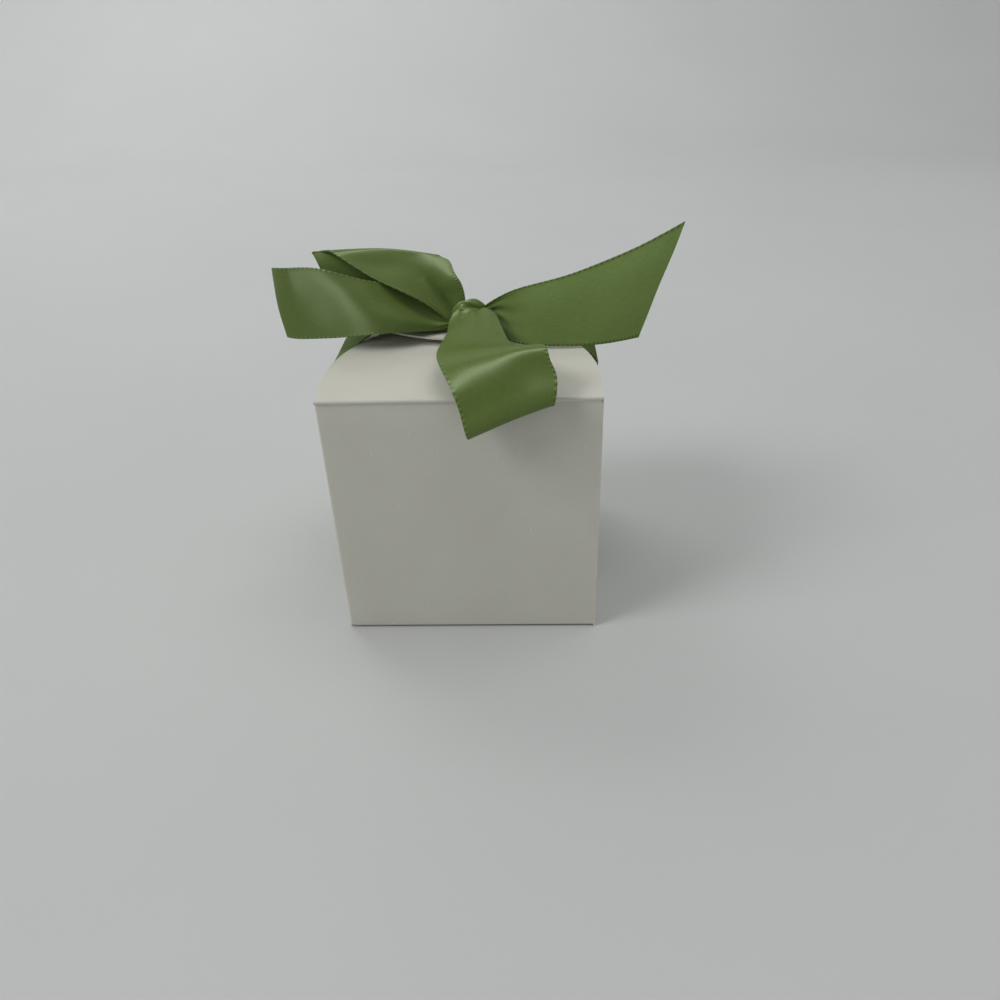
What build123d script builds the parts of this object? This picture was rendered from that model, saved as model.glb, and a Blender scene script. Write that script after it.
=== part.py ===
from build123d import *
import os
from math import asin, atan, cos, degrees, radians, sin, sqrt, tan

# Favor box: a folded paperboard carton, tied round with one satin ribbon in a bow.
# Millimetres. X to the right, Y to the back, Z up. The origin is on the floor, under the middle of the base.

# Carton
BOX_WIDTH = 50.8
BOX_DEPTH = 50.8
BOX_HEIGHT = 50.8
BOARD = 0.4
FOLD_GAP = 0.05

# Half-round closure flaps, arched over the top, with the back one lying on the front one
FLAP_OVERLAP = 6.4
FLAP_SIDE = 6.4
FRONT_FLAP_LIFT = 9.5
FRONT_RIM_SLOPE = 2.5
BACK_RIM_SLOPE = -3.0
FLAP_CLEARANCE = 0.2

# Dust flaps, glue tab and bottom flaps
DUST_FLAP_LENGTH = 20.0
DUST_FLAP_INSET = 1.5
DUST_FLAP_ROUND = 6.0
GLUE_TAB_WIDTH = 9.0
GLUE_TAB_INSET = 5.0
BOTTOM_FLAP_OVERLAP = 6.0
BOTTOM_SIDE_FLAP_LENGTH = 18.0
BOTTOM_FLAP_INSET = 0.5

# Ribbon
RIBBON_WIDTH = 15.9
RIBBON_THICKNESS = 0.3
RIBBON_CLEARANCE = 0.35
RIBBON_GATHER = 0.8

# Knot
KNOT_X = 1.2
KNOT_Y = -1.5
KNOT_LENGTH = 7.0
KNOT_DEPTH = 6.0
KNOT_HEIGHT = 5.8
KNOT_ROUND = 2.2
KNOT_SEAT = 1.5
KNOT_BAND_RADIUS = 1.0

# Where the sizes above put the carton's edges
BASE_Z = RIBBON_THICKNESS
TOP_Z = BASE_Z + BOX_HEIGHT
SIDE_TOP_Z = TOP_Z - BOARD - FOLD_GAP
HALF_WIDTH = BOX_WIDTH / 2
HALF_DEPTH = BOX_DEPTH / 2
FLAP_REACH = HALF_DEPTH + FLAP_OVERLAP
FLAP_RIM_DEPTH = FLAP_REACH - FLAP_SIDE
FLAP_AXIS_Y = HALF_DEPTH - BOARD / 2
FLAP_AXIS_Z = TOP_Z + FOLD_GAP + BOARD / 2
FLAP_RUN = FLAP_REACH - BOARD / 2


def block(x_low, x_high, y_low, y_high, z_low, z_high):
    """A board or ribbon span between two corners."""
    size = Box(x_high - x_low, y_high - y_low, z_high - z_low)
    return Pos((x_low + x_high) / 2, (y_low + y_high) / 2, (z_low + z_high) / 2) * size


def arch_radius(lift, rim_slope):
    """Radius of a flap's arch, which leaves the fold at one slope and reaches the rim at another."""
    return FLAP_RUN / (sin(radians(lift)) - sin(radians(rim_slope)))


def arch_point(run, lift, rim_slope, offset=0.0):
    """Run and rise of a point on the arch, counted from the fold, on a face offset from its middle."""
    radius = arch_radius(lift, rim_slope)
    slope = asin(sin(radians(lift)) - run / radius)
    rise = radius * (cos(slope) - cos(radians(lift)))
    return run - offset * sin(slope), rise + offset * cos(slope)


def back_flap_lift():
    """Slope of the back flap at its fold, so that it lies on the front flap's rim."""
    rise = arch_point(FLAP_RUN, FRONT_FLAP_LIFT, FRONT_RIM_SLOPE)[1] + BOARD + FLAP_CLEARANCE
    run = FLAP_AXIS_Y - FLAP_OVERLAP
    bend = run**2 / (2 * FLAP_RUN)
    return degrees(atan((rise - tan(radians(BACK_RIM_SLOPE)) * bend) / (run - bend)))


BACK_FLAP_LIFT = back_flap_lift()


def closure_flap(lift, rim_slope):
    """A half-round flap that turns on the front fold."""
    ends = [0.0, FLAP_RUN / 2, FLAP_RUN]
    faces = []
    for offset in (BOARD / 2, -BOARD / 2):
        points = [arch_point(run, lift, rim_slope, offset) for run in ends]
        faces.append([Vector(0, run - FLAP_AXIS_Y, rise + FLAP_AXIS_Z) for run, rise in points])
    upper, lower = faces
    profile = [
        ThreePointArc(*upper),
        Line(upper[-1], lower[-1]),
        ThreePointArc(*reversed(lower)),
        Line(lower[0], upper[0]),
    ]
    sheet = extrude(make_face(profile), amount=HALF_WIDTH, both=True)
    side = Pos(0, FLAP_SIDE / 2) * Rectangle(BOX_WIDTH, FLAP_SIDE)
    rim = Pos(0, FLAP_SIDE) * Ellipse(HALF_WIDTH, FLAP_RIM_DEPTH)
    behind_fold = Pos(0, FLAP_REACH / 2) * Rectangle(BOX_WIDTH, FLAP_REACH)
    outline = (side + rim) & behind_fold
    cutter = Pos(0, -HALF_DEPTH, SIDE_TOP_Z) * extrude(outline, amount=BOX_HEIGHT)
    return sheet & cutter


def dust_flap():
    """A flap on the left fold, tapered by its rounded corners."""
    length = DUST_FLAP_LENGTH
    width = BOX_DEPTH - 2 * (BOARD + DUST_FLAP_INSET)
    blank = Pos(length / 2, 0) * Rectangle(length, width)
    outline = fillet(blank.vertices().group_by(Axis.X)[-1], DUST_FLAP_ROUND)
    start = -HALF_WIDTH + BOARD / 2
    return Pos(start, 0, TOP_Z - BOARD) * extrude(outline, amount=BOARD)


def glue_tab():
    """The tab that runs on from the front panel, inside the right one, with its ends cut at a slant."""
    outline = Polyline(
        (0, BASE_Z + GLUE_TAB_INSET),
        (GLUE_TAB_WIDTH, BASE_Z + 2 * GLUE_TAB_INSET),
        (GLUE_TAB_WIDTH, SIDE_TOP_Z - 2 * GLUE_TAB_INSET),
        (0, SIDE_TOP_Z - GLUE_TAB_INSET),
        close=True,
    )
    face = Plane.YZ * make_face(outline)
    return Pos(HALF_WIDTH - 2 * BOARD, -HALF_DEPTH + BOARD, 0) * extrude(face, amount=BOARD)


def carton():
    """Panels, tab and flaps of the carton, by name."""
    inner_x = HALF_WIDTH - BOARD
    inner_y = HALF_DEPTH - BOARD
    pieces = {
        "front_panel": block(-HALF_WIDTH, inner_x, -HALF_DEPTH, -inner_y, BASE_Z, TOP_Z),
        "back_panel": block(-HALF_WIDTH, HALF_WIDTH, inner_y, HALF_DEPTH, BASE_Z, TOP_Z),
        "left_panel": block(-HALF_WIDTH, -inner_x, -inner_y, inner_y, BASE_Z, SIDE_TOP_Z),
        "right_panel": block(inner_x, HALF_WIDTH, -HALF_DEPTH, inner_y, BASE_Z, SIDE_TOP_Z),
        "glue_tab": glue_tab(),
        "front_closure_flap": closure_flap(FRONT_FLAP_LIFT, FRONT_RIM_SLOPE),
        "back_closure_flap": Rot(0, 0, 180) * closure_flap(BACK_FLAP_LIFT, BACK_RIM_SLOPE),
        "left_dust_flap": dust_flap(),
        "right_dust_flap": Rot(0, 0, 180) * dust_flap(),
    }
    floors = [BASE_Z + BOARD * layer for layer in range(4)]
    half = inner_x - BOTTOM_FLAP_INSET
    reach = BOTTOM_FLAP_OVERLAP
    pieces["front_bottom_flap"] = block(-half, half, -inner_y, reach, floors[0], floors[1])
    pieces["back_bottom_flap"] = block(-half, half, -reach, inner_y, floors[1], floors[2])
    half = inner_y - BOTTOM_FLAP_INSET
    side = BOTTOM_SIDE_FLAP_LENGTH
    pieces["left_bottom_flap"] = block(-inner_x, side - inner_x, -half, half, floors[2], floors[3])
    pieces["right_bottom_flap"] = block(inner_x - side, inner_x, -half, half, floors[2], floors[3])
    return pieces


def rim_gap(x):
    """Half of the gap between the two flaps' rims, beside the place where they cross."""
    return HALF_DEPTH - FLAP_SIDE - FLAP_RIM_DEPTH * sqrt(1 - (x / HALF_WIDTH) ** 2)


def crown_z(y):
    """Top of the back flap, on the way from its fold to its rim."""
    run = FLAP_AXIS_Y - y
    return FLAP_AXIS_Z + arch_point(run, BACK_FLAP_LIFT, BACK_RIM_SLOPE, BOARD / 2)[1]


CROWN_Z = crown_z(KNOT_Y)
KNOT_Z = CROWN_Z + RIBBON_THICKNESS + RIBBON_CLEARANCE + KNOT_HEIGHT / 2


def ribbon_strip(stations):
    """A ribbon strip through stations, each an edge point, the way across and the share of the width there."""
    near = [Vector(*point) for point, across, share in stations]
    far = [
        Vector(*point) + Vector(*across).normalized() * (RIBBON_WIDTH * share)
        for point, across, share in stations
    ]
    middles = [(a + b) / 2 for a, b in zip(near, far)]
    sections = []
    for i, (a, b) in enumerate(zip(near, far)):
        along = middles[min(i + 1, len(middles) - 1)] - middles[max(i - 1, 0)]
        half = along.cross(b - a).normalized() * (RIBBON_THICKNESS / 2)
        corners = [a - half, b - half, b + half, a + half]
        sections.append([Edge.make_line(corners[k - 1], corners[k]) for k in range(4)])
    faces = [Face(Wire(sections[0])), Face(Wire(sections[-1]))]
    for start, end in zip(sections, sections[1:]):
        faces += [Face.make_surface_from_curves(a, b) for a, b in zip(start, end)]
    return Solid(Shell(faces))


def top_span(side):
    """The ribbon from a side's top edge, up between the flaps' rims and over the back flap, to the knot."""
    half = RIBBON_WIDTH / 2
    cross = HALF_WIDTH * sqrt(1 - ((HALF_DEPTH - FLAP_SIDE) / FLAP_RIM_DEPTH) ** 2)
    edge = HALF_WIDTH + RIBBON_THICKNESS
    rise = (HALF_WIDTH + cross) / 2 + RIBBON_CLEARANCE
    over = cross + 2 * RIBBON_CLEARANCE
    lift = RIBBON_THICKNESS / 2 + RIBBON_CLEARANCE
    seat_z = TOP_Z + FOLD_GAP + RIBBON_THICKNESS / 2
    crest_z = CROWN_Z + 2 * lift
    knot_x = KNOT_X + side * (KNOT_LENGTH / 2 - KNOT_SEAT)
    knot_z = KNOT_Z - KNOT_HEIGHT / 2 + lift
    near = [
        (side * edge, -half, seat_z),
        (side * rise, lift - rim_gap(rise), (seat_z + crest_z) / 2),
        (side * over, lift - rim_gap(over), crest_z),
        (knot_x, KNOT_Y - KNOT_DEPTH / 4, knot_z),
    ]
    far = [
        (side * edge, half, seat_z),
        (side * rise, rim_gap(rise), crest_z),
        (side * over, half * RIBBON_GATHER, crest_z),
        (knot_x, KNOT_Y + KNOT_DEPTH / 4, knot_z),
    ]
    stations = []
    for start, end in zip(near, far):
        across = Vector(*end) - Vector(*start)
        stations.append((start, tuple(across), across.length / RIBBON_WIDTH))
    return ribbon_strip(stations)


def bow_station(dx, dy, dz, across, share):
    """A station of the bow, counted from the knot's middle and the top of the flaps."""
    return ((KNOT_X + dx, KNOT_Y + dy, CROWN_Z + dz), across, share)


def front_station(dx, dy, dz, across, share):
    """A station of the front loop, counted from the knot's middle and the carton's front top edge."""
    return ((KNOT_X + dx, dy - HALF_DEPTH, TOP_Z + dz), across, share)


LEFT_LOOP = [
    bow_station(-3.0, -2.2, 1.7, (0.0, 0.0, 1.0), 0.28),
    bow_station(-10.0, -3.5, 0.8, (0.0, -0.1, 1.0), 0.50),
    bow_station(-18.0, -4.4, 0.5, (0.0, -0.15, 1.0), 0.72),
    bow_station(-27.0, -4.4, 0.3, (0.0, -0.2, 1.0), 0.92),
    bow_station(-35.0, -3.8, 0.2, (0.0, -0.12, 1.0), 0.94),
    bow_station(-36.2, -3.0, 0.4, (0.0, -0.1, 1.0), 0.88),
    bow_station(-35.2, -2.2, 0.8, (0.0, -0.1, 1.0), 0.80),
    bow_station(-27.0, -2.3, 1.0, (0.0, -0.12, 1.0), 0.78),
    bow_station(-18.0, -2.0, 1.2, (0.0, -0.1, 1.0), 0.64),
    bow_station(-10.0, -1.8, 1.4, (0.0, -0.05, 1.0), 0.44),
    bow_station(-3.0, -1.5, 1.9, (0.0, 0.0, 1.0), 0.25),
]

LEFT_TAIL = [
    bow_station(-3.6, 0.9, 2.3, (0.45, 0.2, 0.85), 0.20),
    bow_station(-8.3, 1.0, 5.3, (6.8, 2.5, 2.2), 0.47),
    bow_station(-12.7, 2.0, 7.5, (10.1, 2.5, 2.7), 0.68),
    bow_station(-18.5, 3.0, 9.9, (14.8, 2.5, 2.2), 0.95),
    bow_station(-24.1, 4.0, 13.4, (19.2, 2.0, -0.5), 1.21),
    bow_station(-27.0, 4.7, 14.9, (21.1, 1.8, -1.7), 1.33),
    bow_station(-28.8, 6.1, 14.8, (20.4, 1.8, -2.6), 1.30),
    bow_station(-30.0, 6.7, 14.6, (13.8, 1.2, -6.4), 0.96),
    bow_station(-30.8, 6.7, 14.4, (5.0, 0.6, -12.0), 0.82),
]

RIGHT_TAIL = [
    bow_station(3.1, -0.2, 1.7, (0.0, 0.1, 1.0), 0.28),
    bow_station(8.5, -4.6, 0.4, (0.0, 0.28, 1.0), 0.56),
    bow_station(15.0, -5.8, -0.6, (0.22, 0.36, 1.0), 0.84),
    bow_station(24.0, -5.6, -1.4, (0.12, 0.34, 1.0), 1.00),
    bow_station(32.0, -6.0, -0.4, (0.40, 0.25, 1.0), 1.38),
]

FRONT_LOOP = [
    bow_station(-1.9, -2.6, 4.9, (1.0, 0.0, 0.0), 0.28),
    bow_station(-4.4, -9.4, 1.6, (1.0, 0.0, 0.16), 0.68),
    front_station(-5.2, 8.0, 4.7, (1.0, 0.1, 0.16), 1.00),
    front_station(-1.9, -0.1, 3.1, (1.0, 0.18, 0.32), 1.00),
    front_station(-0.3, -4.0, -0.8, (1.0, 0.08, 0.37), 1.00),
    front_station(0.6, -5.7, -4.6, (1.0, 0.03, 0.39), 1.00),
    front_station(0.7, -4.6, -5.5, (1.0, 0.03, 0.39), 0.98),
    front_station(0.3, -3.1, -4.4, (1.0, 0.03, 0.39), 0.98),
    front_station(-1.2, -1.4, 1.1, (1.0, 0.14, 0.34), 0.96),
    front_station(-3.6, 8.6, 3.2, (1.0, 0.1, 0.16), 0.84),
    bow_station(-3.2, -9.4, 0.4, (1.0, 0.0, 0.12), 0.55),
    bow_station(-1.7, -2.6, 1.9, (1.0, 0.0, 0.0), 0.26),
]


def knot_band():
    """The ribbon's twisted roll over the knot, down both of its sides."""
    radius = KNOT_LENGTH / 2
    path = CenterArc((0, 0), radius, 0, 180)
    roll = sweep(Plane(path @ 0, z_dir=path % 0) * Circle(KNOT_BAND_RADIUS), path)
    return Pos(KNOT_X, KNOT_Y, KNOT_Z) * Rot(90, 0, 0) * roll


def ribbon():
    """Spans of the ribbon round the carton, and the knot and bow on top, by name."""
    half = RIBBON_WIDTH / 2
    outside = HALF_WIDTH + RIBBON_THICKNESS
    span_top = TOP_Z + FOLD_GAP
    knot = Box(KNOT_LENGTH, KNOT_DEPTH, KNOT_HEIGHT)
    return {
        "ribbon_base_span": block(-outside, outside, -half, half, 0, RIBBON_THICKNESS),
        "ribbon_left_span": block(-outside, -HALF_WIDTH, -half, half, BASE_Z, span_top),
        "ribbon_right_span": block(HALF_WIDTH, outside, -half, half, BASE_Z, span_top),
        "ribbon_left_top_span": top_span(-1),
        "ribbon_right_top_span": top_span(1),
        "knot": Pos(KNOT_X, KNOT_Y, KNOT_Z) * fillet(knot.edges(), KNOT_ROUND),
        "knot_band": knot_band(),
        "left_loop": ribbon_strip(LEFT_LOOP),
        "front_loop": ribbon_strip(FRONT_LOOP),
        "left_tail": ribbon_strip(LEFT_TAIL),
        "right_tail": ribbon_strip(RIGHT_TAIL),
    }


os.makedirs("parts", exist_ok=True)
for name, solid in {**carton(), **ribbon()}.items():
    export_step(solid, f"parts/{name}.step")
    print(f"{name}: {solid.volume:.1f} mm3")
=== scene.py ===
"""Dresses the favor box: a folded paperboard carton, tied round with one satin ribbon in a bow."""
import logging
from dataclasses import dataclass
from enum import Enum
from math import asin, atan, cos, degrees, pi, radians, sin, sqrt, tan

import bmesh
import bpy
import numpy as np
from mathutils import Matrix, Vector

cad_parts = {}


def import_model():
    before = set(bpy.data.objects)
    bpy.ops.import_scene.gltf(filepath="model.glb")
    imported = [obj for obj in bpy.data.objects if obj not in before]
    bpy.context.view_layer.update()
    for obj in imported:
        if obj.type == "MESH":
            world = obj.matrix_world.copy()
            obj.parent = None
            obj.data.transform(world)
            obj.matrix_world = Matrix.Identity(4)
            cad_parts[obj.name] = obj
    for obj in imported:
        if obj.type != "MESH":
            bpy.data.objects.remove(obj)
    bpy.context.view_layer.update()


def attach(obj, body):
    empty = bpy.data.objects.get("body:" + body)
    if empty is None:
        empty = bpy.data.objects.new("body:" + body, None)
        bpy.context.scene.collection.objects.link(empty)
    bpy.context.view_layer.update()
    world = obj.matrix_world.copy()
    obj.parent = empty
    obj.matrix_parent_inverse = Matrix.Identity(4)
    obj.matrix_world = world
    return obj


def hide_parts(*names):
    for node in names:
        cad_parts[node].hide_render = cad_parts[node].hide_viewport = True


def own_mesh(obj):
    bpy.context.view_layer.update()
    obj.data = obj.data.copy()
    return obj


LOG = logging.getLogger("favor_box")
MM = 0.001

Point = tuple[float, float, float]
Section = tuple[Point, ...]
Colour = tuple[float, float, float]
Span = tuple[float, float]
Socket = bpy.types.NodeSocket
Paint = Colour | Socket
Node = bpy.types.Node
Material = bpy.types.Material
Piece = bpy.types.Object
Plan = bmesh.types.BMesh
Edge = bmesh.types.BMEdge
Vert = bmesh.types.BMVert


class Slot(Enum):
    """Material slots of the record."""

    BOARD = "board"
    RIBBON = "ribbon"


class Body(Enum):
    """Bodies that the pieces ride on."""

    BOX = "box_and_ribbon"
    FRONT_FLAP = "front_flap"
    BACK_FLAP = "back_flap"
    LEFT_FLAP = "left_flap"
    RIGHT_FLAP = "right_flap"


class End(Enum):
    """The front and the back of the carton, by the sign of their Y."""

    FRONT = -1
    BACK = 1


class Hand(Enum):
    """The left and the right of the carton, by the sign of their X."""

    LEFT = -1
    RIGHT = 1


class Hold(Enum):
    """Ways in which a stretch of the ribbon is held."""

    STRETCHED = "stretched"
    GATHERED = "gathered"
    FOLDED = "folded"


class SatinSide(Enum):
    """The two sides of the ribbon."""

    FACE = "face"
    BACK = "back"


class Shader:
    """A material with its node tree and its Principled shader."""

    def __init__(self, name: str) -> None:
        """Starts a material.

        Args:
            name: The material's name.
        """
        self.material: Material = bpy.data.materials.new(name)
        self.material.use_nodes = True
        self.tree: bpy.types.NodeTree = self.material.node_tree
        self.surface: Node = self.tree.nodes["Principled BSDF"]

    def add(self, kind: str, **settings: object) -> Node:
        """Adds a node.

        Args:
            kind: The node's type.
            settings: Values for the node's own properties.

        Returns:
            The new node.
        """
        node = self.tree.nodes.new(kind)
        for key, value in settings.items():
            setattr(node, key, value)
        return node

    def join(self, source: Socket, target: Socket) -> None:
        """Links one socket to another."""
        self.tree.links.new(source, target)

    def set(self, **values: object) -> None:
        """Sets the Principled shader's sockets, with underscores for the spaces in their names."""
        for key, value in values.items():
            self.surface.inputs[key.replace("_", " ")].default_value = value

    def place(self, uv_map: str = "", stretch: Point = (1.0, 1.0, 1.0)) -> Socket:
        """Gives the coordinates that a pattern reads.

        Args:
            uv_map: The UV map to read, or nothing for Object coordinates.
            stretch: How much the pattern is scaled along each axis.

        Returns:
            The vector socket.
        """
        if uv_map:
            source = self.add("ShaderNodeUVMap", uv_map=uv_map).outputs["UV"]
        else:
            source = self.add("ShaderNodeTexCoord").outputs["Object"]
        mapping = self.add("ShaderNodeMapping")
        mapping.inputs["Scale"].default_value = stretch
        self.join(source, mapping.inputs["Vector"])
        return mapping.outputs["Vector"]

    def noise(self, place: Socket, scale: float, detail: float = 3.0) -> Socket:
        """Adds a noise pattern.

        Args:
            place: The coordinates to read.
            scale: Features for each unit of the coordinates.
            detail: Finer layers of the noise.

        Returns:
            The noise's value.
        """
        node = self.add("ShaderNodeTexNoise")
        node.inputs["Scale"].default_value = scale
        node.inputs["Detail"].default_value = detail
        self.join(place, node.inputs["Vector"])
        return node.outputs["Fac"]

    def between(self, value: Socket, start: float, end: float) -> Socket:
        """Gives how far a value has come from start to end, as a share from 0 to 1.

        Args:
            value: The value.
            start: Where the share is 0.
            end: Where it is 1.

        Returns:
            The share.
        """
        node = self.add("ShaderNodeMapRange")
        node.inputs["From Min"].default_value = start
        node.inputs["From Max"].default_value = end
        self.join(value, node.inputs["Value"])
        return node.outputs["Result"]

    def maths(self, operation: str, first: Socket, second: float = 0.0) -> Socket:
        """Works on a value with a fixed number.

        Args:
            operation: What is done.
            first: The value.
            second: The number.

        Returns:
            The result.
        """
        node = self.add("ShaderNodeMath", operation=operation)
        self.join(first, node.inputs[0])
        node.inputs[1].default_value = second
        return node.outputs[0]

    def mix(self, share: Socket, first: Paint, second: Paint) -> Socket:
        """Mixes two colours.

        Args:
            share: The second colour's share.
            first: A colour, or the socket of one.
            second: The other colour.

        Returns:
            The mixed colour.
        """
        node = self.add("ShaderNodeMix", data_type="RGBA")
        self.join(share, node.inputs[0])
        for socket, paint in ((node.inputs[6], first), (node.inputs[7], second)):
            if isinstance(paint, Socket):
                self.join(paint, socket)
            else:
                socket.default_value = (*paint, 1.0)
        return node.outputs[2]

    def bump(self, height: Socket, depth: float, under: Node | None = None) -> Node:
        """Adds a bump.

        Args:
            height: The pattern that is raised.
            depth: The height of the pattern in metres.
            under: A bump that this one lies on.

        Returns:
            The bump node, whose normal the caller links.
        """
        node = self.add("ShaderNodeBump")
        node.inputs["Distance"].default_value = depth
        self.join(height, node.inputs["Height"])
        if under:
            self.join(under.outputs["Normal"], node.inputs["Normal"])
        return node

    def finish(self, colour: Socket, bump: Node) -> Material:
        """Links the colour and the bump to the shader, and gives the material.

        Args:
            colour: The finished colour.
            bump: The topmost bump.

        Returns:
            The material.
        """
        self.join(colour, self.surface.inputs["Base Color"])
        self.join(bump.outputs["Normal"], self.surface.inputs["Normal"])
        return self.material


@dataclass(frozen=True)
class BoardFinish:
    """Uncoated ivory paperboard, with fine fibres and a few pressed marks."""

    colour: Colour = (0.675, 0.668, 0.592)
    shade: Colour = (0.640, 0.632, 0.555)
    mark: Colour = (0.70, 0.69, 0.63)
    roughness: float = 0.82
    specular: float = 0.3
    cloud_scale: float = 60.0
    cloud_span: Span = (0.3, 0.7)
    fibre_scale: float = 2600.0
    fibre_detail: float = 4.0
    fibre_depth: float = 0.00004
    mark_scale: float = 700.0
    mark_detail: float = 1.0
    mark_span: Span = (0.74, 0.80)
    mark_stretch: Point = (1.0, 1.0, 0.5)
    mark_depth: float = 0.00005

    def material(self) -> Material:
        """Makes the material.

        Returns:
            The material.
        """
        shader = Shader("ivory_board")
        shader.set(Roughness=self.roughness, Specular_IOR_Level=self.specular)
        place = shader.place()
        clouds = shader.between(shader.noise(place, self.cloud_scale), *self.cloud_span)
        fibres = shader.noise(place, self.fibre_scale, self.fibre_detail)
        scratches = shader.noise(shader.place(stretch=self.mark_stretch), self.mark_scale, self.mark_detail)
        marks = shader.between(scratches, *self.mark_span)
        colour = shader.mix(clouds, self.colour, self.shade)
        colour = shader.mix(marks, colour, self.mark)
        bump = shader.bump(fibres, self.fibre_depth)
        bump = shader.bump(marks, -self.mark_depth, bump)
        return shader.finish(colour, bump)


@dataclass(frozen=True)
class RawEdgeFinish:
    """The board's cut edge, where its tan core shows."""

    colour: Colour = (0.72, 0.69, 0.62)
    shade: Colour = (0.65, 0.61, 0.53)
    roughness: float = 0.9
    specular: float = 0.2
    layer_scale: float = 3000.0
    layer_span: Span = (0.35, 0.65)
    layer_depth: float = 0.00003

    def material(self) -> Material:
        """Makes the material.

        Returns:
            The material.
        """
        shader = Shader("raw_board_edge")
        shader.set(Roughness=self.roughness, Specular_IOR_Level=self.specular)
        layers = shader.noise(shader.place(), self.layer_scale)
        colour = shader.mix(shader.between(layers, *self.layer_span), self.colour, self.shade)
        return shader.finish(colour, shader.bump(layers, self.layer_depth))


@dataclass(frozen=True)
class SatinFinish:
    """Sage green satin, woven along the ribbon. Its UV map runs in millimetres, along and across.

    Attributes:
        side: The ribbon's side.
        gloss_turn: Turn of the broad gloss, of a full one, which lays it across the ribbon.
    """

    side: SatinSide
    colour: Colour
    shade: Colour
    roughness: float
    anisotropic: float
    specular: float
    thread_depth: float
    rib_depth: float
    gloss_turn: float = 0.25
    gloss_tint: Colour = (0.86, 1.0, 0.68)
    thread_stretch: Point = (0.55, 7.0, 1.0)
    thread_span: Span = (0.3, 0.7)
    rib_stretch: Point = (4.2, 0.6, 1.0)
    # Painted highlight on the selvedge beads, and painted shade in the gaps between them.
    bead: Colour = (0.15, 0.225, 0.06)
    bead_gap_shade: Colour = (0.085, 0.13, 0.028)
    bead_span: Span = (-0.3, 0.6)
    bead_fade: Span = (1.2, 0.8)

    def beads(self, shader: Shader, colour: Socket) -> Socket:
        """Paints a highlight on the beads along both selvedges, and shade in the gaps between them.

        Args:
            shader: The material being made.
            colour: The satin's colour.

        Returns:
            The colour with the beads.
        """
        parts = shader.add("ShaderNodeSeparateXYZ")
        shader.join(shader.place(RibbonStrip.UV_MAP), parts.inputs["Vector"])
        half = RibbonStrip.WIDTH / 2
        off_middle = shader.maths("ABSOLUTE", shader.maths("SUBTRACT", parts.outputs["Y"], half))
        edge = shader.between(off_middle, *(half - share * RibbonStrip.BEAD_WIDTH for share in self.bead_fade))
        wave = shader.maths("COSINE", shader.maths("MULTIPLY", parts.outputs["X"], 2 * pi / RibbonStrip.BEAD_PITCH))
        on_bead = shader.between(wave, *self.bead_span)
        # Mixes the painted bead highlight and the painted gap shade into the colour near the selvedges.
        return shader.mix(edge, colour, shader.mix(on_bead, self.bead_gap_shade, self.bead))

    def material(self) -> Material:
        """Makes the material.

        Returns:
            The material.
        """
        shader = Shader(f"satin_{self.side.value}")
        shader.set(
            Roughness=self.roughness,
            Anisotropic=self.anisotropic,
            Anisotropic_Rotation=self.gloss_turn,
            Specular_IOR_Level=self.specular,
            Specular_Tint=(*self.gloss_tint, 1.0),
        )
        tangent = shader.add("ShaderNodeTangent", direction_type="UV_MAP", uv_map=RibbonStrip.UV_MAP)
        shader.join(tangent.outputs["Tangent"], shader.surface.inputs["Tangent"])
        threads = shader.noise(shader.place(RibbonStrip.UV_MAP, self.thread_stretch), 1.0)
        ribs = shader.noise(shader.place(RibbonStrip.UV_MAP, self.rib_stretch), 1.0)
        colour = shader.mix(shader.between(threads, *self.thread_span), self.colour, self.shade)
        bump = shader.bump(ribs, self.rib_depth, shader.bump(threads, self.thread_depth))
        return shader.finish(self.beads(shader, colour), bump)


SATIN_FACE = SatinFinish(
    SatinSide.FACE, colour=(0.128, 0.190, 0.042), shade=(0.098, 0.150, 0.030), roughness=0.58, anisotropic=1.0,
    specular=1.0, thread_depth=0.000015, rib_depth=0.000015,
)
SATIN_BACK = SatinFinish(
    SatinSide.BACK, colour=(0.192, 0.282, 0.080), shade=(0.145, 0.220, 0.058), roughness=0.7, anisotropic=0.4,
    specular=0.25, thread_depth=0.00003, rib_depth=0.00006,
)


@dataclass(frozen=True)
class FloorFinish:
    """A pale, smooth studio sheet."""

    colour: Colour = (0.610, 0.620, 0.615)
    shade: Colour = (0.590, 0.600, 0.596)
    roughness: float = 0.6
    specular: float = 0.3
    cloud_scale: float = 9.0
    cloud_span: Span = (0.3, 0.7)
    grain_scale: float = 900.0
    grain_depth: float = 0.00002

    def material(self) -> Material:
        """Makes the material.

        Returns:
            The material.
        """
        shader = Shader("pale_floor")
        shader.set(Roughness=self.roughness, Specular_IOR_Level=self.specular)
        place = shader.place()
        clouds = shader.between(shader.noise(place, self.cloud_scale), *self.cloud_span)
        colour = shader.mix(clouds, self.colour, self.shade)
        return shader.finish(colour, shader.bump(shader.noise(place, self.grain_scale), self.grain_depth))


@dataclass
class Finishes:
    """The materials that the pieces share."""

    board: Material
    raw_edge: Material
    satin: dict[SatinSide, Material]


def make_finishes() -> Finishes:
    """Makes the materials of the board and the ribbon.

    Returns:
        The materials.
    """
    satin = {finish.side: finish.material() for finish in (SATIN_FACE, SATIN_BACK)}
    return Finishes(BoardFinish().material(), RawEdgeFinish().material(), satin)


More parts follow.
